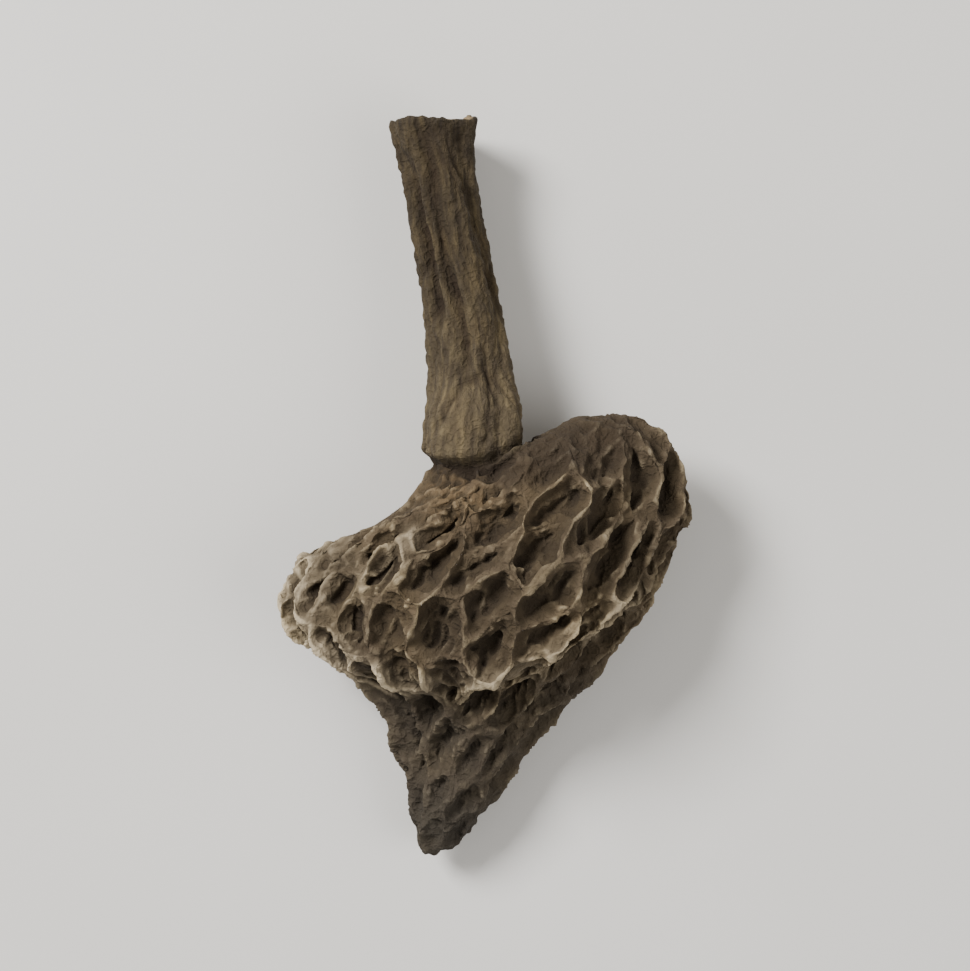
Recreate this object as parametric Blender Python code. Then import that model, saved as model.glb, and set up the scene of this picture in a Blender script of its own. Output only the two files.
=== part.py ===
"""A dried morel mushroom, one fruiting body grown in one piece, lying on its flat side.

Blender 4.5, metres, +Z up. The cut stem points along +Y and the cap's tip along -Y. The origin is at the
centre of the bounding box, on the surface that the morel lies on.

The outer skin is a loft through hand-measured loops, from the cap's tip to the stem's cut end. The cap's
skin is divided into pits by a net of ridges: a Voronoi net of seeded points, drawn in a plane where the
cap is unrolled round its tip. The stem grows out of the net's rim, is furrowed, and is hollow: its bore
runs from the cut end into the cap. Sizes are in millimetres until the mesh is stored.
"""

import math

import bmesh
import bpy
import numpy as np
from mathutils import Vector, noise
from mathutils.geometry import delaunay_2d_cdt

MM = 0.001

# Loops of the outer skin, tip first: y, left x, right x, low z, high z, and lean, which is how far the
# loop's right side lies ahead of its middle along +Y. The skin touches the tops of the ridges.
SKIN = (
    (-28.6, -2.6, -2.6, 2.7, 2.7, 0.0),  # the tip, a point
    (-28.0, -4.0, -1.3, 1.5, 3.9, 0.0),
    (-25.4, -4.9, 0.8, 0.7, 5.6, 0.0),
    (-20.6, -5.8, 5.0, 0.2, 7.9, 0.4),
    (-16.4, -6.8, 9.2, -0.3, 10.4, 1.0),  # the waist under the belly
    (-12.4, -10.6, 12.8, -0.8, 12.3, 1.6),
    (-7.4, -14.4, 15.6, -0.9, 13.4, 2.0),  # the belly
    (-2.6, -14.0, 17.4, -0.7, 13.2, 2.8),
    (0.9, -11.2, 15.8, 0.3, 12.3, 3.9),  # the shoulders
    (2.2, -8.0, 12.2, 1.9, 10.8, 4.6),  # the rim's crest
    (2.7, -5.0, 7.2, 3.0, 9.9, 3.0),
    (2.7, -3.6, 4.0, 3.6, 9.4, 1.1),  # the throat, a groove from which the stem rises
    (5.4, -3.3, 3.7, 3.5, 9.4, 0.3),
    (8.0, -3.3, 3.8, 3.5, 9.3, 0.0),  # a collar on the stem
    (12.6, -3.5, 3.0, 3.3, 8.7, 0.0),
    (17.4, -4.2, 2.2, 2.8, 8.4, 0.0),
    (22.6, -5.1, 1.1, 2.1, 7.9, 0.0),
    (27.0, -6.1, 0.6, 1.4, 7.7, 0.0),
    (29.6, -6.7, 0.9, 1.0, 7.9, 0.4),  # the cut end
)
RIM, THROAT, CUT_END = 9, 11, 18

# Loops of the hollow, from the cut end inwards: y, left x, right x, low z, high z, and the loop of the
# skin that it lies under, whose dents and furrows it follows.
HOLLOW = (
    (29.0, -5.2, -0.6, 2.6, 6.4, 18.0),
    (22.0, -3.7, -0.3, 3.6, 6.4, 16.0),
    (12.6, -2.0, 1.6, 4.6, 7.3, 14.0),
    (5.0, -1.8, 2.2, 4.9, 7.9, 12.0),
    (0.6, -2.6, 3.4, 4.5, 8.6, 9.6),
    (-2.6, -6.2, 9.0, 3.6, 9.2, 7.6),
    (-7.0, -7.4, 10.0, 3.4, 9.2, 6.2),
    (-10.6, -4.8, 7.0, 3.6, 8.4, 5.4),
    (-12.8, -2.2, 3.8, 4.0, 7.0, 4.8),
    (-13.8, 0.6, 0.6, 5.0, 5.0, 4.6),
)
HOLLOW_ROWS = 14

# The net of ridges.
PIT_WIDTH = 3.3
PIT_WIDTH_AT_TIP = 2.1
PIT_STRETCH = 1.6  # a pit's length over its width
NET_TWIST = 0.026  # radians for each mm from the tip: on the upper side the ridges run up to the right
PIT_SPACING = 0.74  # the least distance between the first draws of two pits, in pit widths
EVENING_PASSES = 7  # how often the draws are moved apart: few, so that the pits stay uneven
PIT_DEPTH = 1.75
PIT_DEPTH_SPREAD = 0.15  # how much deeper or shallower than that a pit can be, as a share
PIT_DEPTH_ON_RIM = 0.15  # the share of the depth that is left on the rim's crest
RIDGE_THICKNESS = 0.6
CREST_ROUNDING = 0.12  # how far a ridge's edges lie below its middle
WALL_RUN = 0.36  # how far a pit's wall leans in from the ridge's edge to its foot
WALL_FOOT = 0.9  # the depth of the wall's foot, as a share of the pit's
RIDGE_STEP = 1.5  # a ridge has a point about this often along its length
RIDGE_SWAY = 0.2  # how far a ridge wanders sideways, as a share of each step
RIDGE_SAG = 0.08  # how far a ridge hangs between its corners
CROSS_RIDGE_SAG = 0.9  # how much more a ridge that runs round the cap hangs
SHORTEST_RIDGE = 1.0
SEED = 5

# Where the morel touches the surface, as x, y and radius: three low stretches of ridge round its weight,
# and between them a few pits that are pressed flat.
FEET = (
    (4.6, -0.5, 0.6),
    (-4.6, -4.1, 0.6),
    (3.9, -15.3, 0.6),
)
PRESSED = (1.5, -5.1, 2.2)
PRESSED_BELOW = 1.2  # only skin as low as this is pressed
HELD_CLEAR = 0.3  # how far the rest of the underside stays clear of the surface

# The belly is folded over the lower cone: the fold's line on the upper side, as x and y, its step down
# towards the tip, the lip that stands up along it, and where below it the step has faded out.
FOLD = (
    (-14.0, -10.2),
    (-10.0, -13.1),
    (-6.2, -14.9),
    (-0.9, -15.0),
    (3.7, -14.2),
    (7.5, -11.9),
    (12.4, -8.1),
)
FOLD_STEP = 1.7
FOLD_LIP = 0.45
FOLD_FADES = (4.0, 12.0)

# Dents and bulges of the crumpled cap: x, y, which side (1 up, -1 down), depth and radius.
DENTS = (
    (-10.4, -6.2, 1, 1.4, 3.0),  # the fold on the left lobe
    (-3.4, -1.4, 1, 1.0, 3.4),
    (12.4, -1.0, 1, 0.9, 3.8),
    (9.0, 2.4, -1, 1.2, 4.0),
    (-11.0, -12.4, -1, 1.0, 4.0),
    (-14.6, -10.2, 1, -1.0, 1.9),  # the knob on the left edge
    (6.6, -6.2, 1, -0.8, 5.0),
)
CRUMPLE = 0.75  # the depth of the larger lumps
CRUMPLE_SIZE = 7.5
FINE_CRUMPLE = 0.34  # the depth of the smaller lumps
FINE_CRUMPLE_SIZE = 3.3

# The stem.
FURROWS = 8
FURROW_DEPTH = 0.36  # as a share of the stem's radius
STEM_ROWS = 15
CUT_RAGGED = 0.7
CUT_LUMP_SIZE = 2.2


def smooth_step(x, low, high):
    t = np.clip((x - low) / (high - low), 0.0, 1.0)
    return t * t * (3.0 - 2.0 * t)


def lumps(points, size, shift):
    """Smooth noise from -1 to 1 at each point, with lumps of about this size."""
    moved = np.asarray(points) / size + np.array([shift, 3.1 * shift, 1.7 * shift])
    return np.array([noise.noise(Vector(p)) for p in moved])


def loft(loops, at):
    """The loops' numbers at fractional loop counts, by a Catmull-Rom curve through them.

    Past a first loop that is a point, the loft runs on through that loop's mirror image, which rounds it.
    """
    table = np.array(loops)
    mirrored = table[1, [0, 2, 1, 4, 3, *range(5, table.shape[1])]]
    before = mirrored if table[0, 1] == table[0, 2] else 2.0 * table[0] - table[1]
    table = np.vstack([before, table, 2.0 * table[-1] - table[-2]])
    i = np.clip(np.floor(at).astype(int), 0, len(loops) - 2)
    f = (at - i)[:, None]
    a, b, c, d = table[i], table[i + 1], table[i + 2], table[i + 3]
    bend = 2.0 * a - 5.0 * b + 4.0 * c - d
    twist = 3.0 * b - a - 3.0 * c + d
    return b + 0.5 * ((c - a) * f + bend * f**2 + twist * f**3)


def furrow_share(at, angle, y):
    """How far the stem's skin lies inside its loft there, as a share of its radius."""
    rng = np.random.default_rng(SEED + 1)
    share = np.zeros_like(angle)
    for k in range(FURROWS):
        middle = 2.0 * math.pi * (k + rng.uniform(-0.3, 0.3)) / FURROWS
        turn, sway, phase = rng.uniform(-0.02, 0.02), rng.uniform(0.1, 0.3), rng.uniform(0.0, 6.0)
        width, depth = rng.uniform(0.16, 0.3), rng.uniform(0.45, 1.0)
        line = middle + turn * y + sway * np.sin(0.24 * y + phase)
        off = np.angle(np.exp(1j * (angle - line)))
        fade = 0.65 + 0.35 * np.sin(0.31 * y + 2.0 * phase)
        share += depth * fade * np.exp(-((off / width) ** 2))
    return FURROW_DEPTH * share * smooth_step(at, THROAT - 0.6, THROAT + 1.5)


def plain_skin(at, angle):
    """Points of the loft with the stem's furrows, before the cap is crumpled."""
    y, left, right, low, high, lean = loft(SKIN, at).T
    inside = furrow_share(at, angle, y)
    x = (left + right) / 2.0 + (right - left) / 2.0 * (1.0 - inside) * np.cos(angle)
    z = (low + high) / 2.0 + (high - low) / 2.0 * (1.0 - inside) * np.sin(angle)
    return np.stack([x, y + lean * np.cos(angle), z], axis=1)


def crumple_depth(points, normals, at):
    """How far the dried skin has sunk there. It fades out on the flat side and along the stem."""
    x, y, z = points.T
    depth = CRUMPLE * lumps(points, CRUMPLE_SIZE, 1.0) + FINE_CRUMPLE * lumps(points, FINE_CRUMPLE_SIZE, 5.0)
    for dent_x, dent_y, side, dent_depth, radius in DENTS:
        near = np.exp(-((x - dent_x) ** 2 + (y - dent_y) ** 2) / radius**2)
        depth += dent_depth * near * smooth_step(side * normals[:, 2], -0.1, 0.5)
    below = np.interp(x, *np.transpose(FOLD)) - y
    step = FOLD_STEP * smooth_step(below, -0.4, 1.4) * (1.0 - smooth_step(below, *FOLD_FADES))
    depth += (step - FOLD_LIP * np.exp(-((below + 0.9) ** 2))) * smooth_step(normals[:, 2], 0.0, 0.5)
    depth *= smooth_step(z, 1.0, 4.5) * smooth_step(at, 0.6, 3.5)
    return depth * (1.0 - 0.75 * smooth_step(at, RIM - 0.5, THROAT))


def plain_at(spots):
    """The plain skin at spots on a disc whose centre is the tip and whose radius is the loop count."""
    return plain_skin(*spread(spots))


def spread(spots):
    """(loop count, angle) of spots on the disc."""
    return np.maximum(np.hypot(*spots.T), 1e-9), np.arctan2(spots[:, 1], spots[:, 0])


def plain_normals(spots):
    """Outward normals of the plain skin."""
    step = 1e-3
    here = plain_at(spots)
    along = plain_at(spots + (step, 0.0)) - here
    across = plain_at(spots + (0.0, step)) - here
    normal = np.cross(along, across)
    return normal / np.linalg.norm(normal, axis=1, keepdims=True)


def lowest(points):
    """How low the skin may hang there: down to the surface where it rests, and not quite so low elsewhere."""
    away = [np.hypot(points[:, 0] - x, points[:, 1] - y) - radius for x, y, radius in (*FEET, PRESSED)]
    return HELD_CLEAR * smooth_step(np.min(away, axis=0), 0.0, 1.0)


def place(at, angle, depth):
    """Points this deep under the crumpled skin, flattened where they would hang lower than they may."""
    spots = np.stack([at * np.cos(angle), at * np.sin(angle)], axis=1)
    plain, normals = plain_at(spots), plain_normals(spots)
    points = plain - normals * (crumple_depth(plain, normals, at) + depth)[:, None]
    points[:, 2] = np.maximum(points[:, 2], lowest(points))
    return points


class Unrolled:
    """The cap unrolled round its tip onto a plane, where a pit is as long as it is wide."""

    def __init__(self):
        self.at = np.linspace(1e-3, RIM + 1.5, 1200)
        angles = np.linspace(0.0, 2.0 * math.pi, 49)
        rings = np.stack([plain_skin(self.at, np.full_like(self.at, a)) for a in angles], axis=1)
        self.radius = np.linalg.norm(np.diff(rings, axis=1), axis=2).sum(axis=1) / (2.0 * math.pi)
        steps = np.linalg.norm(np.diff(rings, axis=0), axis=2).mean(axis=1)
        self.along = np.concatenate([[0.0], np.cumsum(steps)]) + 1e-3
        straight = 2.0  # mm from the tip where the plane is a plain disc
        growth = np.where(self.along > straight, 1.0 / (PIT_STRETCH * self.radius), 1.0 / self.along)
        logs = np.concatenate([[0.0], np.cumsum((growth[1:] + growth[:-1]) / 2.0 * np.diff(self.along))])
        self.reach = np.exp(logs)
        self.rim_along = float(np.interp(RIM, self.at, self.along))

    def plane(self, along, angle):
        reach = np.interp(along, self.along, self.reach)
        return np.stack([reach * np.cos(angle), reach * np.sin(angle)], axis=1)

    def skin_spot(self, plane_points):
        """(loop count, angle) of points of the plane, turned so that the ridges run slantwise."""
        reach = np.hypot(*plane_points.T)
        turn = NET_TWIST * np.interp(reach, self.reach, self.along)
        angle = np.arctan2(plane_points[:, 1], plane_points[:, 0]) - turn
        return np.interp(reach, self.reach, self.at), np.angle(np.exp(1j * angle))

    def radius_at(self, along):
        return np.interp(along, self.along, self.radius)

    def pit_width(self, along):
        return PIT_WIDTH_AT_TIP + (PIT_WIDTH - PIT_WIDTH_AT_TIP) * smooth_step(along, 2.0, 16.0)

    def distances(self, along, angle, seed_along, seed_angle):
        """From each point to each seed, in pit widths."""
        a, s = along[:, None], seed_along[None, :]
        turn = np.angle(np.exp(1j * (angle[:, None] - seed_angle[None, :])))
        round_cap = turn * (self.radius_at(a) + self.radius_at(s)) / 2.0
        width = self.pit_width((a + s) / 2.0)
        return np.hypot((a - s) / PIT_STRETCH, round_cap) / width


def scatter_pits(cap):
    """(along, angle) of the middle of each pit: seeded points, moved apart a few times."""
    rng = np.random.default_rng(SEED)
    tries = 9000
    along = rng.uniform(1.6, cap.rim_along - 0.35 * PIT_WIDTH, tries)
    weight = cap.radius_at(along) / cap.pit_width(along) ** 2
    along = along[rng.uniform(0.0, weight.max(), tries) < weight]
    angle = rng.uniform(-math.pi, math.pi, len(along))
    seeds = [0]
    for k in range(1, len(along)):
        if cap.distances(along[k : k + 1], angle[k : k + 1], along[seeds], angle[seeds]).min() > PIT_SPACING:
            seeds.append(k)
    seed_along, seed_angle = along[seeds].copy(), angle[seeds].copy()
    for _ in range(EVENING_PASSES):
        seed_along[0], seed_angle[0] = 0.02, 0.0  # one pit stays on the tip
        nearest = cap.distances(along, angle, seed_along, seed_angle).argmin(axis=1)
        for k in range(1, len(seed_along)):
            mine = nearest == k
            if mine.any():
                seed_along[k] = along[mine].mean()
                seed_angle[k] = np.angle(np.exp(1j * angle[mine]).mean())
    seed_along[0] = 0.02
    return seed_along, seed_angle


def voronoi_cells(cap, along, angle):
    """The net in the plane: its corner points, and for each pit the corners round it, in order."""
    past_rim = cap.rim_along + 0.62 * PIT_WIDTH
    count = round(2.0 * math.pi * float(cap.radius_at(past_rim)) / PIT_WIDTH)
    fence_angle = 2.0 * math.pi * np.arange(count) / count
    plane = np.vstack([cap.plane(along, angle), cap.plane(np.full(count, past_rim), fence_angle)])
    triangles = delaunay_2d_cdt([Vector(p) for p in plane], [], [], 0, 1e-6)[2]
    corners = []
    around = {pit: [] for pit in range(len(along))}
    for triangle in triangles:
        a, b, c = plane[triangle[0]], plane[triangle[1]], plane[triangle[2]]
        d = 2.0 * (a[0] * (b[1] - c[1]) + b[0] * (c[1] - a[1]) + c[0] * (a[1] - b[1]))
        sides = np.array([b - c, c - a, a - b])
        squares = np.array([a @ a, b @ b, c @ c])
        centre = np.array([(squares * sides[:, 1]).sum(), -(squares * sides[:, 0]).sum()]) / d
        for pit in triangle:
            if pit in around:
                around[pit].append(len(corners))
        corners.append(centre)
    corners = np.array(corners)
    for pit, ids in around.items():
        off = corners[ids] - plane[pit]
        around[pit] = [ids[k] for k in np.argsort(np.arctan2(off[:, 1], off[:, 0]))]
    return corners, around


def join_close_corners(cap, corners, around):
    """Corners of the net closer than the shortest ridge become one."""
    solid = place(*cap.skin_spot(corners), np.zeros(len(corners)))
    stands_for = list(range(len(corners)))

    def root(k):
        while stands_for[k] != k:
            k = stands_for[k]
        return k

    for ids in around.values():
        for a, b in zip(ids, ids[1:] + ids[:1]):
            if np.linalg.norm(solid[a] - solid[b]) < SHORTEST_RIDGE:
                stands_for[max(root(a), root(b))] = min(root(a), root(b))
    groups = {}
    for k in range(len(corners)):
        groups.setdefault(root(k), []).append(k)
    joined = corners.copy()
    for head, members in groups.items():
        joined[head] = corners[members].mean(axis=0)
    outlines = {}
    for pit, ids in around.items():
        heads = [root(k) for k in ids]
        outline = [k for n, k in enumerate(heads) if k != heads[n - 1]]
        if len(outline) > 2:
            outlines[pit] = outline
    return joined, outlines


class Net:
    """The ridges' middle lines: points in the plane, how far each hangs, and the pits' outlines."""

    def __init__(self, cap, corners, outlines):
        self.points = [tuple(p) for p in corners]
        self.sag = [0.0] * len(self.points)
        self.between = {}
        solid = place(*cap.skin_spot(corners), np.zeros(len(corners)))
        at, angle = cap.skin_spot(corners)
        along = np.interp(at, cap.at, cap.along)
        rng = np.random.default_rng(SEED + 2)
        self.pits = {}
        for pit, outline in outlines.items():
            line = []
            for a, b in zip(outline, outline[1:] + outline[:1]):
                line += [a, *self.middles(a, b, solid, along, corners, rng)]
            self.pits[pit] = line

    def middles(self, a, b, solid, along, corners, rng):
        """The points between two corners, made once and shared by the pits on both sides."""
        if (b, a) in self.between:
            return self.between[b, a][::-1]
        length = np.linalg.norm(solid[a] - solid[b])
        count = min(2, max(0, round(length / RIDGE_STEP) - 1))
        crosswise = 1.0 - min(1.0, abs(along[a] - along[b]) / length)
        most = RIDGE_SAG + CROSS_RIDGE_SAG * float(smooth_step(crosswise, 0.35, 0.8))
        side = corners[b] - corners[a]
        made = []
        for k in range(1, count + 1):
            share = k / (count + 1)
            sway = rng.uniform(-RIDGE_SWAY, RIDGE_SWAY) / count
            spot = corners[a] + side * share + np.array([-side[1], side[0]]) * sway
            self.points.append(tuple(spot))
            self.sag.append(most * math.sin(math.pi * share))
            made.append(len(self.points) - 1)
        self.between[a, b] = made
        return made


def rim_loop(net):
    """The points along the net's outer edge, in order."""
    after = {}
    for line in net.pits.values():
        for a, b in zip(line, line[1:] + line[:1]):
            after[a, b] = True
    border = {a: b for a, b in after if (b, a) not in after}
    loop = [next(iter(border))]
    while border[loop[-1]] != loop[0]:
        loop.append(border[loop[-1]])
    return loop


def add_points(mesh, points):
    return [mesh.verts.new(Vector(p) * MM) for p in points]


def add_band(mesh, outer, inner):
    """Two triangles between each neighbouring pair of points of two loops."""
    for k in range(len(outer)):
        a, b, c, d = outer[k - 1], outer[k], inner[k], inner[k - 1]
        mesh.faces.new((a, b, c))
        mesh.faces.new((a, c, d))


def add_fan(mesh, loop, middle):
    for k in range(len(loop)):
        mesh.faces.new((loop[k - 1], loop[k], middle))


def is_pressed(cap, plane_middle):
    """Whether a pit is pressed flat under the weight."""
    x, y, z = place(*cap.skin_spot(plane_middle), np.zeros(1))[0]
    return z < PRESSED_BELOW and math.hypot(x - PRESSED[0], y - PRESSED[1]) < PRESSED[2]


def depth_share(at):
    """The share of its full depth that a pit has there: less on the tip, and little on the rim."""
    lost_on_rim = (1.0 - PIT_DEPTH_ON_RIM) * smooth_step(at, RIM - 1.5, RIM)
    return smooth_step(at, -1.0, 5.0) * (1.0 - lost_on_rim)


def half_widths(corner, centre):
    """How far the pit's sides lie from its middle, for each point of its outline."""
    side = np.roll(corner, -1, axis=0) - corner
    after = np.linalg.norm(np.cross(corner - centre, side), axis=1) / np.linalg.norm(side, axis=1)
    return 2.0 / (1.0 / after + 1.0 / np.roll(after, 1))


def add_pits(mesh, cap, net):
    """The cap: a band of ridge top, a band of wall and a floor for each pit. It returns the net's points."""
    rng = np.random.default_rng(SEED + 3)
    plane, sag = np.array(net.points), np.array(net.sag)
    crest = place(*cap.skin_spot(plane), sag)
    crest_points = add_points(mesh, crest)
    for line in net.pits.values():
        outline = plane[line]
        middle = outline.mean(axis=0)[None, :]
        full = PIT_DEPTH * rng.uniform(1.0 - PIT_DEPTH_SPREAD, 1.0 + PIT_DEPTH_SPREAD)
        if is_pressed(cap, middle):
            full = 0.0
        wide = half_widths(crest[line], place(*cap.skin_spot(middle), np.zeros(1)))
        edge = RIDGE_THICKNESS / 2.0
        bands = (
            (edge, 0.4, sag[line] + CREST_ROUNDING),
            (edge + WALL_RUN, 0.66, 0.4 * sag[line] + WALL_FOOT * full),
        )
        outer = [crest_points[k] for k in line]
        for run, most, depth in bands:
            share = np.minimum(run / wide, most)[:, None]
            at, angle = cap.skin_spot(outline + (middle - outline) * share)
            inner = add_points(mesh, place(at, angle, np.minimum(depth, full * depth_share(at))))
            add_band(mesh, outer, inner)
            outer = inner
        at, angle = cap.skin_spot(middle)
        add_fan(mesh, outer, add_points(mesh, place(at, angle, full * depth_share(at)))[0])
    return crest_points


def add_stem(mesh, cap, net, crest_points):
    """The rim's underside and the stem, row by row out of the net's rim. It returns the last row."""
    loop = rim_loop(net)[::-1]
    at, angle = cap.skin_spot(np.array(net.points)[loop])
    count = len(loop)
    even = angle[0] - 2.0 * math.pi * np.arange(count) / count
    near_even = even + np.angle(np.exp(1j * (angle - even)))
    even += (near_even - even).mean()
    above = [crest_points[k] for k in loop]
    rows = np.concatenate([[RIM + 0.55, RIM + 1.1], np.linspace(THROAT - 0.2, CUT_END, STEM_ROWS)])
    for row in rows:
        share = float(smooth_step(row, RIM, THROAT + 1.0))
        row_angle = near_even * (1.0 - share) + even * share
        row_at = np.maximum(row, at + (row - RIM) * 0.5) if row < THROAT else np.full(count, row)
        points = place(row_at, row_angle, np.zeros(count))
        ragged = CUT_RAGGED * float(smooth_step(row, CUT_END - 2.0, CUT_END))
        points[:, 1] += ragged * lumps(points, CUT_LUMP_SIZE, 9.0)
        below = add_points(mesh, points)
        add_band(mesh, above, below)
        above = below
    return above, even


def add_hollow(mesh, cut_edge, angle):
    """The wall's cut face and the bore behind it, which closes inside the cap."""
    above = cut_edge
    for row in np.linspace(0.0, len(HOLLOW) - 1, HOLLOW_ROWS)[:-1]:
        y, left, right, low, high, under = loft(HOLLOW, np.full(len(angle), row)).T
        inside = furrow_share(under, angle, y)
        x = (left + right) / 2.0 + (right - left) / 2.0 * (1.0 - inside) * np.cos(angle)
        z = (low + high) / 2.0 + (high - low) / 2.0 * (1.0 - inside) * np.sin(angle)
        points = np.stack([x, y, z], axis=1)
        facing = np.stack([0.0 * angle, 0.0 * angle, np.sin(angle)], axis=1)
        points[:, 2] -= np.sin(angle) * crumple_depth(points, facing, under)
        below = add_points(mesh, points)
        add_band(mesh, above, below)
        above = below
    y, x, _, z, _, _ = HOLLOW[-1]
    add_fan(mesh, above, add_points(mesh, [(x, y, z)])[0])


def centre_on_origin(mesh):
    """The middle of the bounding box over the origin, and the lowest point on the surface below."""
    points = np.array([v.co for v in mesh.verts])
    low, high = points.min(axis=0), points.max(axis=0)
    middle = (low + high) / 2.0
    bmesh.ops.translate(mesh, verts=mesh.verts, vec=(-middle[0], -middle[1], -low[2]))


def dried_flesh():
    """Dry, leathery fungus flesh: brown, rough and without shine."""
    material = bpy.data.materials.new("dried_morel_flesh")
    material.use_nodes = True
    shader = material.node_tree.nodes["Principled BSDF"]
    shader.inputs["Base Color"].default_value = (0.125, 0.082, 0.045, 1.0)
    shader.inputs["Roughness"].default_value = 0.85
    shader.inputs["Metallic"].default_value = 0.0
    return material


def build_morel():
    cap = Unrolled()
    corners, around = voronoi_cells(cap, *scatter_pits(cap))
    net = Net(cap, *join_close_corners(cap, corners, around))
    mesh = bmesh.new()
    crest_points = add_pits(mesh, cap, net)
    cut_edge, angle = add_stem(mesh, cap, net, crest_points)
    add_hollow(mesh, cut_edge, angle)
    bmesh.ops.delete(mesh, geom=[v for v in mesh.verts if not v.link_faces], context="VERTS")
    bmesh.ops.recalc_face_normals(mesh, faces=mesh.faces)
    centre_on_origin(mesh)
    data = bpy.data.meshes.new("morel")
    mesh.to_mesh(data)
    mesh.free()
    data.materials.append(dried_flesh())
    data.shade_smooth()
    data.set_sharp_from_angle(angle=math.radians(50.0))
    morel = bpy.data.objects.new("morel", data)
    bpy.context.scene.collection.objects.link(morel)


for old in list(bpy.data.objects):
    bpy.data.objects.remove(old)
build_morel()
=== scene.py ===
import math

import bmesh
import bpy
import numpy as np
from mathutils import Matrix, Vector, noise
from mathutils.bvhtree import BVHTree


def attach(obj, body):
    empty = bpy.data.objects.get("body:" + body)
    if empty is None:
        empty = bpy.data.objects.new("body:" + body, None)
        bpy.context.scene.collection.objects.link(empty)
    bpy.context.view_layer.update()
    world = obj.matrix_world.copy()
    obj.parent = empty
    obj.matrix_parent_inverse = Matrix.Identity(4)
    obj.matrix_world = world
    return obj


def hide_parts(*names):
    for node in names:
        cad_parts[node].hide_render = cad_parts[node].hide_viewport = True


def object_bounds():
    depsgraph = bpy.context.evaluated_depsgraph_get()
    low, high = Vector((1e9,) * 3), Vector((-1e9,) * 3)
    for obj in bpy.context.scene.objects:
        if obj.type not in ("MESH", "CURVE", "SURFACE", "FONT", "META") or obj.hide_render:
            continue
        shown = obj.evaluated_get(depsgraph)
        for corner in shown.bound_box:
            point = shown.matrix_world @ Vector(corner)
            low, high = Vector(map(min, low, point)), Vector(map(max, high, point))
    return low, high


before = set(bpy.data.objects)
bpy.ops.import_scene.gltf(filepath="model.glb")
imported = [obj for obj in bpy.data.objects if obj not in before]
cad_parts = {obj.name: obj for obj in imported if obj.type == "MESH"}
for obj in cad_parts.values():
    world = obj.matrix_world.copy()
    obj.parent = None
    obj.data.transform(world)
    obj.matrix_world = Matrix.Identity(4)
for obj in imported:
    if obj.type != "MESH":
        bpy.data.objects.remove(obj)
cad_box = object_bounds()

# The fruiting body: a whole morel, cap and stem grown in one piece, dried until the flesh is a stiff,
# wrinkled skin round a hollow. The carried-over solid is rounded and given a fine, even mesh, and the
# ridges that this blunts are sharpened again. Lengths are in mm, and MM makes them metres.
MM = 0.001
GRID = 0.195  # between the points of the even mesh
SHARPENING = ((10, 0.9), (3, 0.8))  # passes of smoothing to compare with, and how much of the difference
MOST_SHARPENED = 0.25
JUST_INSIDE = 0.02  # where the search for the flesh's other side starts
THICK_FLESH = 3.0  # where it finds none


def points_of(mesh):
    return np.array([v.co for v in mesh.verts]) / MM


def normals_of(mesh):
    mesh.normal_update()
    return np.array([v.normal for v in mesh.verts])


def move_to(mesh, points):
    for vertex, point in zip(mesh.verts, points):
        vertex.co = point * MM


def soften(mesh, passes):
    axes = {"use_axis_x": True, "use_axis_y": True, "use_axis_z": True}
    for _ in range(passes):
        bmesh.ops.smooth_vert(mesh, verts=mesh.verts, factor=0.5, **axes)


def relief(mesh, passes):
    """How far each point stands out of the mesh smoothed this many times, and the smooth normals."""
    flat = mesh.copy()
    soften(flat, passes)
    smooth, smooth_outward = points_of(flat), normals_of(flat)
    flat.free()
    return ((points_of(mesh) - smooth) * smooth_outward).sum(axis=1), smooth_outward


def thickness(mesh, points, outward):
    """How thick the flesh is under each point."""
    tree = BVHTree.FromBMesh(mesh)
    found = []
    for point, normal in zip(points, outward):
        inward = Vector(-normal)
        hit = tree.ray_cast(Vector(point) * MM + inward * (JUST_INSIDE * MM), inward)[3]
        found.append(THICK_FLESH if hit is None else hit / MM)
    return np.array(found)


solid = bmesh.new()
solid.from_mesh(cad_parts["morel"].data)
bmesh.ops.remove_doubles(solid, verts=solid.verts, dist=1e-6)
bmesh.ops.join_triangles(
    solid,
    faces=solid.faces,
    angle_face_threshold=math.radians(50.0),
    angle_shape_threshold=math.radians(70.0),
)
rounded = bpy.data.meshes.new("rounded")
solid.to_mesh(rounded)
solid.free()
form = bpy.data.objects.new("form", rounded)
bpy.context.scene.collection.objects.link(form)
rounding = form.modifiers.new("rounding", "SUBSURF")
rounding.levels = 2
rounding.render_levels = 2
evening = form.modifiers.new("evening", "REMESH")
evening.mode = "VOXEL"
evening.voxel_size = GRID * MM
bpy.context.view_layer.update()
flesh = bmesh.new()
flesh.from_mesh(form.evaluated_get(bpy.context.evaluated_depsgraph_get()).to_mesh())
bpy.data.objects.remove(form)

for passes, share in SHARPENING:
    stands_out, away = relief(flesh, passes)
    added = share * np.clip(stands_out, -MOST_SHARPENED, MOST_SHARPENED)
    move_to(flesh, points_of(flesh) + away * added[:, None])
at = points_of(flesh)
x, y, z = at.T
outward = normals_of(flesh)
broad_outward = relief(flesh, 14)[1]  # the ridges' own directions, without their grain
height = relief(flesh, 200)[0]  # smoothed this often, the cap has no ridges left
thick = thickness(flesh, at, outward)

# The stem: a hollow stalk that leans and narrows from its foot, which grew into the cap's rim along a
# slanting, uneven line, to its cut end. Its middle line is given as y, x and z, and each point has an
# angle round that line.
STEM_LINE = np.array((
    (1.7, -0.95, 6.5),
    (7.0, -0.9, 6.4),
    (11.6, -1.4, 6.0),
    (16.4, -2.15, 5.6),
    (21.6, -3.15, 5.0),
    (26.0, -3.9, 4.55),
    (28.6, -4.05, 4.45),
))
FOOT_Y = 1.5
BORE_REACH = 3.4  # the bore's wall is nearer to the middle line than this


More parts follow.
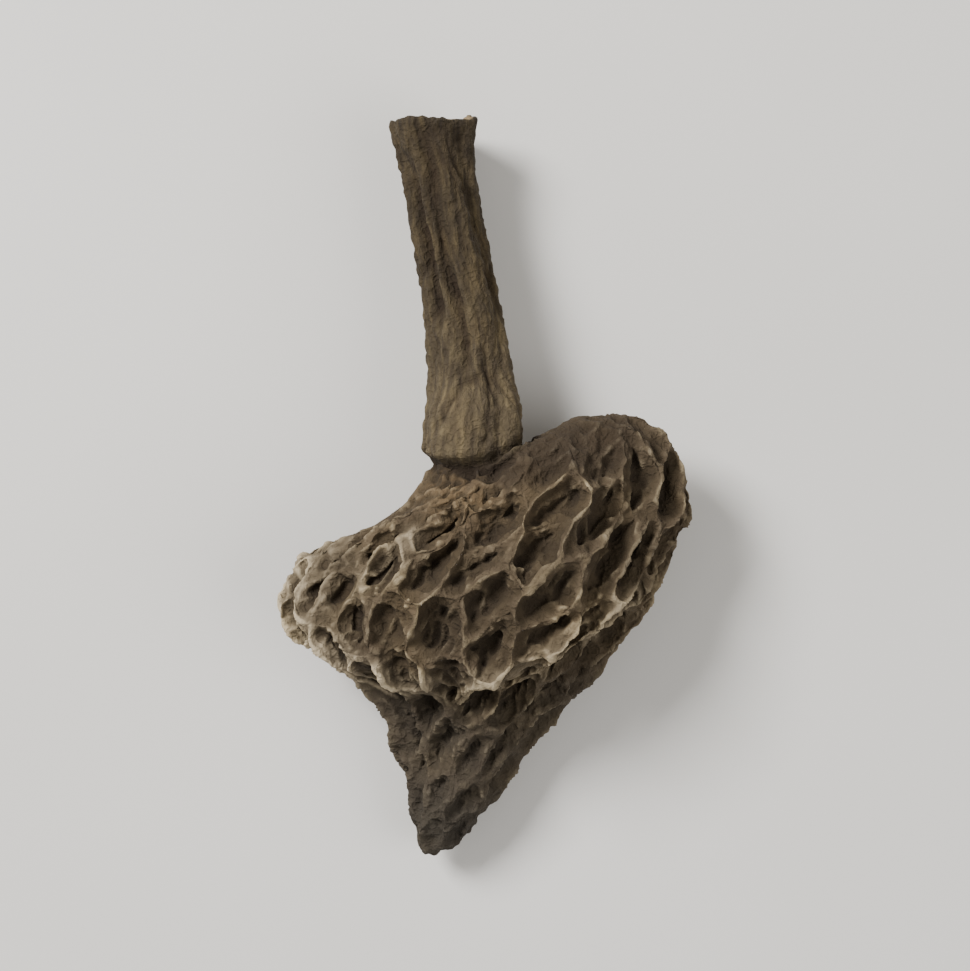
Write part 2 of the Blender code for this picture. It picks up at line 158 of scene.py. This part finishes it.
def smooth_step(value, low, high):
    share = np.clip((value - low) / (high - low), 0.0, 1.0)
    return share * share * (3.0 - 2.0 * share)


def lumps(points, size, shift):
    """Smooth noise from -1 to 1, with lumps of this size, which may be one number per axis."""
    moved = points / np.asarray(size) + np.array([shift, 2.3 * shift, 0.7 * shift])
    return np.array([noise.noise(Vector(p)) for p in moved])


stem_x = np.interp(y, STEM_LINE[:, 0], STEM_LINE[:, 1])
stem_z = np.interp(y, STEM_LINE[:, 0], STEM_LINE[:, 2])
from_line = np.hypot(x - stem_x, z - stem_z)
round_stem = np.arctan2(z - stem_z, x - stem_x)
sideways, upwards = np.cos(round_stem), np.sin(round_stem)
past_foot = y - (FOOT_Y + 0.8 * sideways**2 + 0.4 * sideways + 0.3 * lumps(at, 1.6, 30.0))
near_stem = 1.0 - smooth_step(from_line, 4.2, 5.2)
on_stem = smooth_step(past_foot, -0.2, 0.4) * near_stem
on_cap = 1.0 - on_stem
facing_out = (outward[:, 0] * (x - stem_x) + outward[:, 2] * (z - stem_z)) / from_line
in_bore = smooth_step(y, 2.0, 3.0) * smooth_step(-facing_out, 0.0, 0.5) * (from_line < BORE_REACH)
on_skin = on_stem * (1.0 - in_bore)

# The cap: a net of ridges round deep pits. Drying has thinned the ridges to papery, cockled crests, which
# are nibbled, and has left side ridges and veins in the pits. The pits of the cone are half as wide as
# the others, and so is what is added to them.
FULL_RELIEF = 0.8  # from the middle height of the cap's skin to a crest or to a pit's floor
MIDDLE_Z = 6.4  # where the cap's upper side turns into its lower one
CONE_Y = (-20.0, -14.5)
LOBE_X = (-13.0, -8.0)
SEED = 5  # keeps drift() the same from run to run


def drift(points, size, shift):
    """A smooth direction for each point, up to about 1 long, that changes over this size."""
    moved = points / size + shift
    return np.array([noise.noise_vector(Vector(p)) for p in moved])


def cracks(points, size, shift):
    """0 on the borders of irregular cells of about this size, and up to about 1 inside them."""
    moved = points / np.asarray(size) + shift
    near = [noise.voronoi(Vector(p), distance_metric="DISTANCE")[0][:2] for p in moved]
    return np.array([second - first for first, second in near])


def along_cracks(points, size, width, shift):
    """1 on the borders of such cells, falling to 0 over this share of a cell."""
    return np.exp(-((cracks(points, size, shift) / width) ** 2))


noise.seed_set(SEED)
up_ridge = smooth_step(height, -FULL_RELIEF, FULL_RELIEF) * on_cap
top_of_ridge = smooth_step(height, 0.1, 0.7) * on_cap
on_cone = 1.0 - smooth_step(y - 0.35 * np.abs(x), *CONE_Y)
fineness = 1.0 - 0.5 * on_cone

# Ridges sway from side to side, and their crests more finely: over what length, how far and which part.
move = np.zeros_like(at)
for length, far, part, shift in (
    (3.4, 0.45, up_ridge, 4.0),
    (1.1, 0.24, top_of_ridge, 9.0),
    (0.55, 0.1, top_of_ridge, 12.0),
):
    move += drift(at, length, shift) * (far * fineness * part)[:, None]
thinned = np.minimum(0.34, 0.33 * thick) * smooth_step(up_ridge, 0.25, 0.6)
thinned *= 1.0 - smooth_step(up_ridge, 0.93, 1.0)
nibbled = top_of_ridge * (0.12 + 0.3 * lumps(at, 2.6, 2.0) + 0.2 * lumps(at, 0.7, 6.0))

# Pits and veins lean: on the upper side they run up to the right, and below the other way. Side ridges
# and the smaller veins come in patches. The cone is gathered into narrow ridges that wander to the tip.
leaning = at.copy()
leaning[:, 0] -= 0.45 * y * np.tanh((z - MIDDLE_Z) / 3.0)
branches = along_cracks(leaning, (1.7, 3.0, 1.7), 0.13, 3.0)
branches *= smooth_step(lumps(at, 3.0, 15.0), -0.45, 0.05)
veins = along_cracks(leaning, (0.85, 1.3, 0.85), 0.17, 8.0)
veins *= smooth_step(lumps(at, 2.2, 17.0), -0.35, 0.25)
wandering = leaning + drift(at, 2.4, 33.0) * 0.9
gathered = along_cracks(wandering, (0.95, 3.2, 0.95), 0.2, 6.0)
gathered *= smooth_step(lumps(at, 2.6, 35.0), -0.5, 0.0)
veined = (1.0 - top_of_ridge) * on_cap * fineness * (0.6 * branches + 0.24 * veins)
veined += 0.3 * on_cone * gathered

# The whole skin is finely wrinkled, the left lobe more so, and under the stem's foot it is crumbly.
left_lobe = 1.0 - smooth_step(x, *LOBE_X)
crumbly = np.exp(-(((x + 1.8) / 3.4) ** 2) - ((y + 0.8) / 3.1) ** 2) * (z > 4.0)
wrinkled = (1.0 + 1.2 * left_lobe) * (0.1 * lumps(at, 1.3, 1.0) + 0.08 * lumps(at, 0.6, 5.0))
wrinkled -= 0.5 * crumbly * smooth_step(np.abs(lumps(at, 1.1, 25.0)), 0.0, 0.35) - 0.25 * crumbly
wrinkled += 0.25 * crumbly * smooth_step(cracks(at, 0.9, 27.0), 0.05, 0.5)

# The stem's skin: it has shrunk into creases with rounded welts between them, is mealy with granules, and
# on the upper left has folded into two deep furrows. Its foot is swollen on the upper side, and overhangs
# the cap's rim with a groove under it.
STEM_RADIUS = 3.3
FURROW_WIDTH = 0.42
FURROW_RADIUS = 3.2
FURROWS = ((1.75, 7.0, 30.0, 0.6), (2.35, 11.0, 27.0, 0.5), (1.1, 3.0, 14.0, 0.3))
round_stem += 0.22 * lumps(at, 6.0, 21.0) + 0.07 * lumps(at, 2.0, 22.0)


def creased(ways_round, length, width, shift):
    """1 in creases along the stem, by how many streaks of noise go round it, and their length."""
    reach = ways_round / (2.0 * math.pi)
    streaks = np.stack([reach * np.cos(round_stem), reach * np.sin(round_stem), y / length], axis=1)
    return 1.0 - smooth_step(np.abs(lumps(streaks, 1.0, shift)), 0.0, width)


crease = creased(9, 6.5, 0.16, 7.0) * smooth_step(lumps(at, 4.0, 19.0), -0.4, 0.1)
fine_crease = creased(24, 2.6, 0.22, 11.0)
granules = smooth_step(cracks(at, (0.8, 1.0, 0.8), 5.0), 0.03, 0.4)
at_foot = 1.0 - smooth_step(y, 3.5, 9.0)
cross_wrinkles = (0.35 + 0.65 * at_foot) * lumps(at, (1.8, 0.8, 1.8), 14.0)
furrows = np.zeros(len(at))
for angle, first, last, deep in FURROWS:  # the angle round the stem, where it starts and ends in y, its depth
    off = np.angle(np.exp(1j * (round_stem - angle - 0.012 * (y - 15.0)))) * FURROW_RADIUS
    run = smooth_step(y, first, first + 4.0) * (1.0 - smooth_step(y, last - 4.0, last))
    furrows += deep * run * np.exp(-((off / FURROW_WIDTH) ** 2))
shrunken = 0.26 * crease + 0.13 * fine_crease + 0.1 * cross_wrinkles - 0.12 * granules + furrows
groove = np.exp(-((past_foot / 0.4) ** 2)) * near_stem
under_foot = np.exp(-(((past_foot + 0.8) / 0.8) ** 2)) * near_stem * smooth_step(upwards, -0.2, 0.5)
under_foot *= 0.9 + 0.9 * lumps(at, 0.9, 37.0)
swollen = smooth_step(past_foot, -0.1, 0.9) * (1.0 - smooth_step(y, 4.0, 9.0))
swollen *= 0.8 * on_skin * smooth_step(upwards, -0.3, 0.5)

# All of this is pressed into the mesh, but never through the flesh, nor out of the carried-over box.
INSET = 0.03  # kept free inside that box, because thinning the mesh moves it a little
lifted = veined + fineness * on_cap * wrinkled - on_skin * shrunken - 0.6 * groove - 0.5 * under_foot
lifted = np.clip(lifted - fineness * np.maximum(nibbled, -0.05), -0.45 * thick, 0.4)
move += broad_outward * lifted[:, None] - outward * thinned[:, None]
move += np.stack([sideways, 0.0 * sideways, upwards], axis=1) * swollen[:, None]
move_to(flesh, at + move)
soften(flesh, 1)
low, high = np.array(cad_box[0]) / MM + INSET, np.array(cad_box[1]) / MM - INSET
at = np.clip(points_of(flesh), low, high)
x, y, z = at.T
move_to(flesh, at)

# Colours follow the form, so the mesh carries it: how high in a pit or on a ridge each point lies, how
# sharp the form is there, where the stem and its bore are, and which way the stem's fibres run. The cap's
# pale stretches, and the darker one beside the stem's foot, lie along these lines, given as x and y.
FOLD_LIP = ((-11.2, -13.6), (-7.4, -15.2), (-2.1, -15.3), (2.5, -14.5), (6.3, -12.2), (11.2, -8.4))
LOBE_EDGE = ((-14.0, -4.6), (-15.6, -7.6), (-15.4, -11.2), *FOLD_LIP[:2])
KNOB = ((-15.4, -10.8), (-15.0, -11.6))
CURL = ((-10.0, -7.9), (-7.4, -6.2), (-5.5, -3.8))
# The cap is coloured darker along this line, beside the stem's foot.
DARK_BESIDE_FOOT = ((1.5, 1.6), (5.0, 2.8), (9.5, 3.6))
# The pale ones, each with its width and strength.
PALE_LINES = ((FOLD_LIP, 1.5, 0.5), (LOBE_EDGE, 2.2, 0.6), (KNOB, 2.2, 0.9), (CURL, 1.2, 0.6))


def near_line(line, width):
    """1 near a line, and 0 further from it than this width."""
    nearest = np.full(len(at), 1e3)
    for start, end in zip(line, line[1:]):
        from_start = at[:, :2] - start
        side = np.subtract(end, start)
        share = np.clip((from_start @ side) / (side @ side), 0.0, 1.0)
        nearest = np.minimum(nearest, np.linalg.norm(from_start - share[:, None] * side, axis=1))
    return 1.0 - smooth_step(nearest, 0.3 * width, width)


broad_height = relief(flesh, 160)[0]
fine_height = relief(flesh, 8)[0]
upper = smooth_step(z, 3.0, 6.0)
at_tip = smooth_step(-y, 21.0, 27.0)
pale = sum(strength * near_line(line, width) for line, width, strength in PALE_LINES) + 0.4 * left_lobe
pale = upper * np.clip(pale, 0.0, 1.0) * (0.35 + 0.65 * smooth_step(fine_height, -0.02, 0.1))
# Painted shade: dark colour laid in the stem's creases, furrows and hollows, and in the groove under its
# foot, where shade falls.
stem_shade = on_skin * (0.45 * crease + 0.2 * fine_crease + 0.9 * furrows - 0.5 * broad_height)
carried = {
    "height": smooth_step(broad_height, -0.85, 0.75),
    "crest": smooth_step(fine_height, 0.05, 0.2),
    "stem": on_skin,
    "painted_stem_shade": np.clip(stem_shade, groove, 1.0),
    "bore": in_bore,
    "pale": pale,
    "cone": on_cone * (0.55 + 0.35 * at_tip),
    "darker_beside_foot": 0.7 * near_line(DARK_BESIDE_FOOT, 3.2) * upper,
    "crumbly": 0.7 * crumbly * on_cap * smooth_step(fine_height, -0.05, 0.1),
}
fibre_place = np.stack([STEM_RADIUS * np.cos(round_stem), STEM_RADIUS * np.sin(round_stem), y], axis=1) * MM
morel_mesh = bpy.data.meshes.new("dried_morel")
flesh.to_mesh(morel_mesh)
flesh.free()
for name, values in carried.items():
    morel_mesh.attributes.new(name, "FLOAT", "POINT").data.foreach_set("value", values.astype(np.float32))
fibre_run = morel_mesh.attributes.new("fibre_run", "FLOAT_VECTOR", "POINT")
fibre_run.data.foreach_set("vector", fibre_place.astype(np.float32).ravel())
morel_mesh.shade_smooth()

# The finished mesh is thinned where it is smoothest.
MOST_TRIANGLES = 190_000
morel = bpy.data.objects.new("dried_morel", morel_mesh)
bpy.context.scene.collection.objects.link(morel)
morel_mesh.calc_loop_triangles()
thinning = morel.modifiers.new("thinning", "DECIMATE")
thinning.ratio = MOST_TRIANGLES / len(morel_mesh.loop_triangles)
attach(morel, "root")
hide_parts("morel")


# Dried morel flesh, air-dried whole: dark brown in the pits, where the spore-bearing skin is, with painted
# shade deepening it with depth, pale greyish tan on the bare crests, and greyish ochre on the stem, with
# painted shade darkening its furrows. It is matte, a little horny on the crests, and finely granular.
def linear(colour):
    """An sRGB hex colour as linear values."""
    parts = [int(colour[k : k + 2], 16) / 255.0 for k in (1, 3, 5)]
    return (*(c / 12.92 if c <= 0.04045 else ((c + 0.055) / 1.055) ** 2.4 for c in parts), 1.0)


def add(tree, kind, inputs=(), stops=(), **settings):
    """A node with its settings. Its inputs are pairs of a socket's name or number and a value or a link.

    The stops of a colour ramp are pairs of a position and a colour.
    """
    node = tree.nodes.new(kind)
    for name, value in settings.items():
        setattr(node, name, value)
    for socket, value in inputs:
        if isinstance(value, bpy.types.NodeSocket):
            tree.links.new(value, node.inputs[socket])
        else:
            node.inputs[socket].default_value = value
    if stops:
        elements = node.color_ramp.elements
        for _ in stops[2:]:
            elements.new(0.5)
        for element, (stop, colour) in zip(elements, stops):
            element.position = stop
            element.color = linear(colour)
    return node


dried = bpy.data.materials.new("dried_morel_flesh")
dried.use_nodes = True
tree = dried.node_tree
shader = tree.nodes["Principled BSDF"]
place = add(tree, "ShaderNodeTexCoord").outputs["Object"]
place_y = add(tree, "ShaderNodeSeparateXYZ", [("Vector", place)]).outputs["Y"]
on_mesh = {name: add(tree, "ShaderNodeAttribute", attribute_name=name).outputs["Fac"] for name in carried}
fibre_place = add(tree, "ShaderNodeAttribute", attribute_name="fibre_run").outputs["Vector"]

# Patches of paler and darker flesh, specks on them, and grain.
PATCH = 5.0 * MM
SPECK = 0.9 * MM
GRAIN = 0.2 * MM
patches = add(tree, "ShaderNodeTexNoise", [("Vector", place), ("Scale", 1.0 / PATCH), ("Detail", 3.0)])
specks = add(tree, "ShaderNodeTexNoise", [("Vector", place), ("Scale", 1.0 / SPECK), ("Detail", 4.0)])
grains = add(tree, "ShaderNodeTexNoise", [("Vector", place), ("Scale", 1.0 / GRAIN), ("Detail", 3.0)])

# The cap: dark in its pits, partly its own colour and partly painted shade, and paler up the walls,
# unevenly, with thin pale crests. Over that lie the greyer cone, the rusty crumbs under the stem's foot,
# the darker patch beside it, and the pale fold, lobe edge and knob.
uneven = add(
    tree,
    "ShaderNodeMath",
    [(0, specks.outputs["Fac"]), (1, 0.5), (2, -0.25)],
    operation="MULTIPLY_ADD",
).outputs[0]
uneven_height = add(tree, "ShaderNodeMath", [(0, uneven), (1, on_mesh["height"])], operation="ADD").outputs[0]
# Painted shade: this ramp darkens the flesh with the depth of each pit, beyond the pits' own darker colour.
cap_colour = add(
    tree,
    "ShaderNodeValToRGB",
    [("Fac", uneven_height)],
    ((0.0, "#2c241a"), (0.3, "#3a3124"), (0.6, "#463c2d"), (0.85, "#54493a"), (1.0, "#635845")),
).outputs["Color"]
crest_colour = add(
    tree,
    "ShaderNodeValToRGB",
    [("Fac", patches.outputs["Fac"])],
    ((0.3, "#695f4d"), (0.5, "#857963"), (0.7, "#a2967e")),
).outputs["Color"]
less_in_pits = add(tree, "ShaderNodeMapRange", [("Value", on_mesh["height"]), ("To Min", 0.45)]).outputs[0]
crest_share = add(
    tree, "ShaderNodeMath", [(0, on_mesh["crest"]), (1, less_in_pits)], operation="MULTIPLY"
).outputs[0]
out_of_pits = add(
    tree, "ShaderNodeMapRange", [("Value", uneven_height), ("From Min", 0.3), ("From Max", 0.95)]
).outputs[0]
pale_share = add(
    tree, "ShaderNodeMath", [(0, on_mesh["pale"]), (1, out_of_pits)], operation="MULTIPLY"
).outputs[0]
for share, colour in (
    (crest_share, crest_colour),
    (on_mesh["cone"], linear("#38342e")),
    (on_mesh["crumbly"], linear("#5c4a33")),
    (on_mesh["darker_beside_foot"], linear("#30271d")),
    (pale_share, linear("#b8ab92")),
):
    cap_colour = add(
        tree, "ShaderNodeMix", [(0, share), (6, cap_colour), (7, colour)], data_type="RGBA"
    ).outputs[2]

# The stem: greyish ochre with short fibres, mealy, and darker towards its cut end.
FIBRE_WIDTH = 0.4 * MM
FIBRE_LENGTH = 1.8 * MM
DARKENS_FROM, DARKENS_TO = 6.0 * MM, 18.0 * MM
fibres_run = add(
    tree,
    "ShaderNodeMapping",
    [("Vector", fibre_place), ("Scale", (1.0 / FIBRE_WIDTH, 1.0 / FIBRE_WIDTH, 1.0 / FIBRE_LENGTH))],
).outputs["Vector"]
fibre = add(tree, "ShaderNodeTexNoise", [("Vector", fibres_run), ("Scale", 1.0), ("Detail", 3.0)])
fibre_colour = add(
    tree,
    "ShaderNodeValToRGB",
    [("Fac", fibre.outputs["Fac"])],
    ((0.25, "#3c3429"), (0.45, "#4b4233"), (0.6, "#5a503d"), (0.8, "#70644c")),
).outputs["Color"]
up_stem = add(
    tree,
    "ShaderNodeMapRange",
    [("Value", place_y), ("From Min", DARKENS_FROM), ("From Max", DARKENS_TO), ("To Max", 0.75)],
).outputs[0]
stem_colour = add(
    tree,
    "ShaderNodeMix",
    [(0, up_stem), (6, fibre_colour), (7, linear("#a09a8e"))],
    data_type="RGBA",
    blend_type="MULTIPLY",
).outputs[2]

# Cap and stem together, with painted shade in the stem's creases, furrows and hollows and in the groove under
# its foot, the paler bore, and the patches over all.
flesh_colour = cap_colour
for share, colour in (
    (on_mesh["stem"], stem_colour),
    (on_mesh["painted_stem_shade"], linear("#281f15")),
    (on_mesh["bore"], linear("#7d6d54")),
):
    flesh_colour = add(
        tree, "ShaderNodeMix", [(0, share), (6, flesh_colour), (7, colour)], data_type="RGBA"
    ).outputs[2]
patch_colour = add(
    tree,
    "ShaderNodeValToRGB",
    [("Fac", patches.outputs["Fac"])],
    ((0.25, "#8a8078"), (0.5, "#bcb6ac"), (0.75, "#e6dcc6")),
).outputs["Color"]
mottled = add(
    tree,
    "ShaderNodeMix",
    [(0, 0.55), (6, flesh_colour), (7, patch_colour)],
    data_type="RGBA",
    blend_type="OVERLAY",
).outputs[2]
tree.links.new(mottled, shader.inputs["Base Color"])
roughness = add(
    tree, "ShaderNodeMapRange", [("Value", on_mesh["crest"]), ("To Min", 0.92), ("To Max", 0.68)]
).outputs[0]
tree.links.new(roughness, shader.inputs["Roughness"])
shader.inputs["IOR"].default_value = 1.45
shader.inputs["Specular IOR Level"].default_value = 0.35

# Grain, then crinkles as in crumpled paper, and the stem's fibres. The crinkles are the borders of cells,
# bent out of line by the specks, and fainter in the bore.
CRINKLE = 0.6 * MM
BENT = 0.7 * MM
bent_place = add(
    tree,
    "ShaderNodeVectorMath",
    [(0, specks.outputs["Color"]), (1, (BENT, BENT, BENT)), (2, place)],
    operation="MULTIPLY_ADD",
).outputs["Vector"]
crinkles = add(
    tree,
    "ShaderNodeTexVoronoi",
    [("Vector", bent_place), ("Scale", 1.0 / CRINKLE)],
    feature="DISTANCE_TO_EDGE",
)
crinkle_height = add(
    tree, "ShaderNodeMapRange", [("Value", crinkles.outputs["Distance"]), ("From Max", 0.25)]
).outputs[0]
less_in_bore = add(
    tree, "ShaderNodeMapRange", [("Value", on_mesh["bore"]), ("To Min", 0.75), ("To Max", 0.15)]
).outputs[0]
bumps = (
    (grains.outputs["Fac"], 0.1 * MM, 0.9),
    (crinkle_height, -0.09 * MM, less_in_bore),
    (fibre.outputs["Fac"], 0.14 * MM, on_mesh["stem"]),
)
under = ()
for bump_height, deep, strength in bumps:
    inputs = [("Height", bump_height), ("Distance", deep), ("Strength", strength), *under]
    bump = add(tree, "ShaderNodeBump", inputs)
    under = [("Normal", bump.outputs["Normal"])]
tree.links.new(bump.outputs["Normal"], shader.inputs["Normal"])
morel_mesh.materials.append(dried)

# The surface that the morel lies on: a flat board, sealed and painted a pale, matte white with a faint
# unevenness. It lies a hair under the morel's feet.
CLOUD = 60.0 * MM
bpy.ops.mesh.primitive_plane_add(size=2.0, location=(0.0, 0.0, -0.1 * MM))
board = bpy.context.object
board.name = "board"
painted = bpy.data.materials.new("pale_painted_board")
painted.use_nodes = True
tree = painted.node_tree
place = add(tree, "ShaderNodeTexCoord").outputs["Object"]
cloudy = add(tree, "ShaderNodeTexNoise", [("Vector", place), ("Scale", 1.0 / CLOUD), ("Detail", 2.0)])
tone = add(
    tree,
    "ShaderNodeValToRGB",
    [("Fac", cloudy.outputs["Fac"])],
    ((0.3, "#dcd9d3"), (0.7, "#e4e1dc")),
)
tree.links.new(tone.outputs["Color"], tree.nodes["Principled BSDF"].inputs["Base Color"])
tree.nodes["Principled BSDF"].inputs["Roughness"].default_value = 0.85
board.data.materials.append(painted)


# Soft studio light: a soft key from the upper left, a weaker, wider fill from the right, and a pale room
# all round. Sizes and places are in metres.
def soft_light(name, watts, size, place):
    lamp = bpy.data.lights.new(name, "AREA")
    lamp.energy = watts
    lamp.size = size
    made = bpy.data.objects.new(name, lamp)
    made.location = place
    made.rotation_euler = (-Vector(place)).to_track_quat("-Z", "Y").to_euler()
    bpy.context.scene.collection.objects.link(made)


soft_light("key", watts=3.3, size=0.16, place=(-0.26, 0.2, 0.3))
soft_light("fill", watts=0.9, size=0.3, place=(0.32, -0.1, 0.3))
room = bpy.data.worlds.new("room")
room.use_nodes = True
room.node_tree.nodes["Background"].inputs["Color"].default_value = linear("#f2f0ec")
room.node_tree.nodes["Background"].inputs["Strength"].default_value = 0.46
bpy.context.scene.world = room

# The camera looks straight down, as the photograph looks straight at the morel, with the stem at the
# top of the picture. It is framed closer than the photograph, so that the morel fills the picture.
PICTURE_HEIGHT = 75.0 * MM
MOREL_MIDDLE = 7.0 * MM
LENS = 85.0
camera = bpy.data.objects.new("camera", bpy.data.cameras.new("camera"))
camera.data.lens = LENS
camera.data.clip_start = 0.005
camera.location = (0.0, 0.0, PICTURE_HEIGHT / camera.data.sensor_width * LENS + MOREL_MIDDLE)
bpy.context.scene.collection.objects.link(camera)
bpy.context.scene.camera = camera
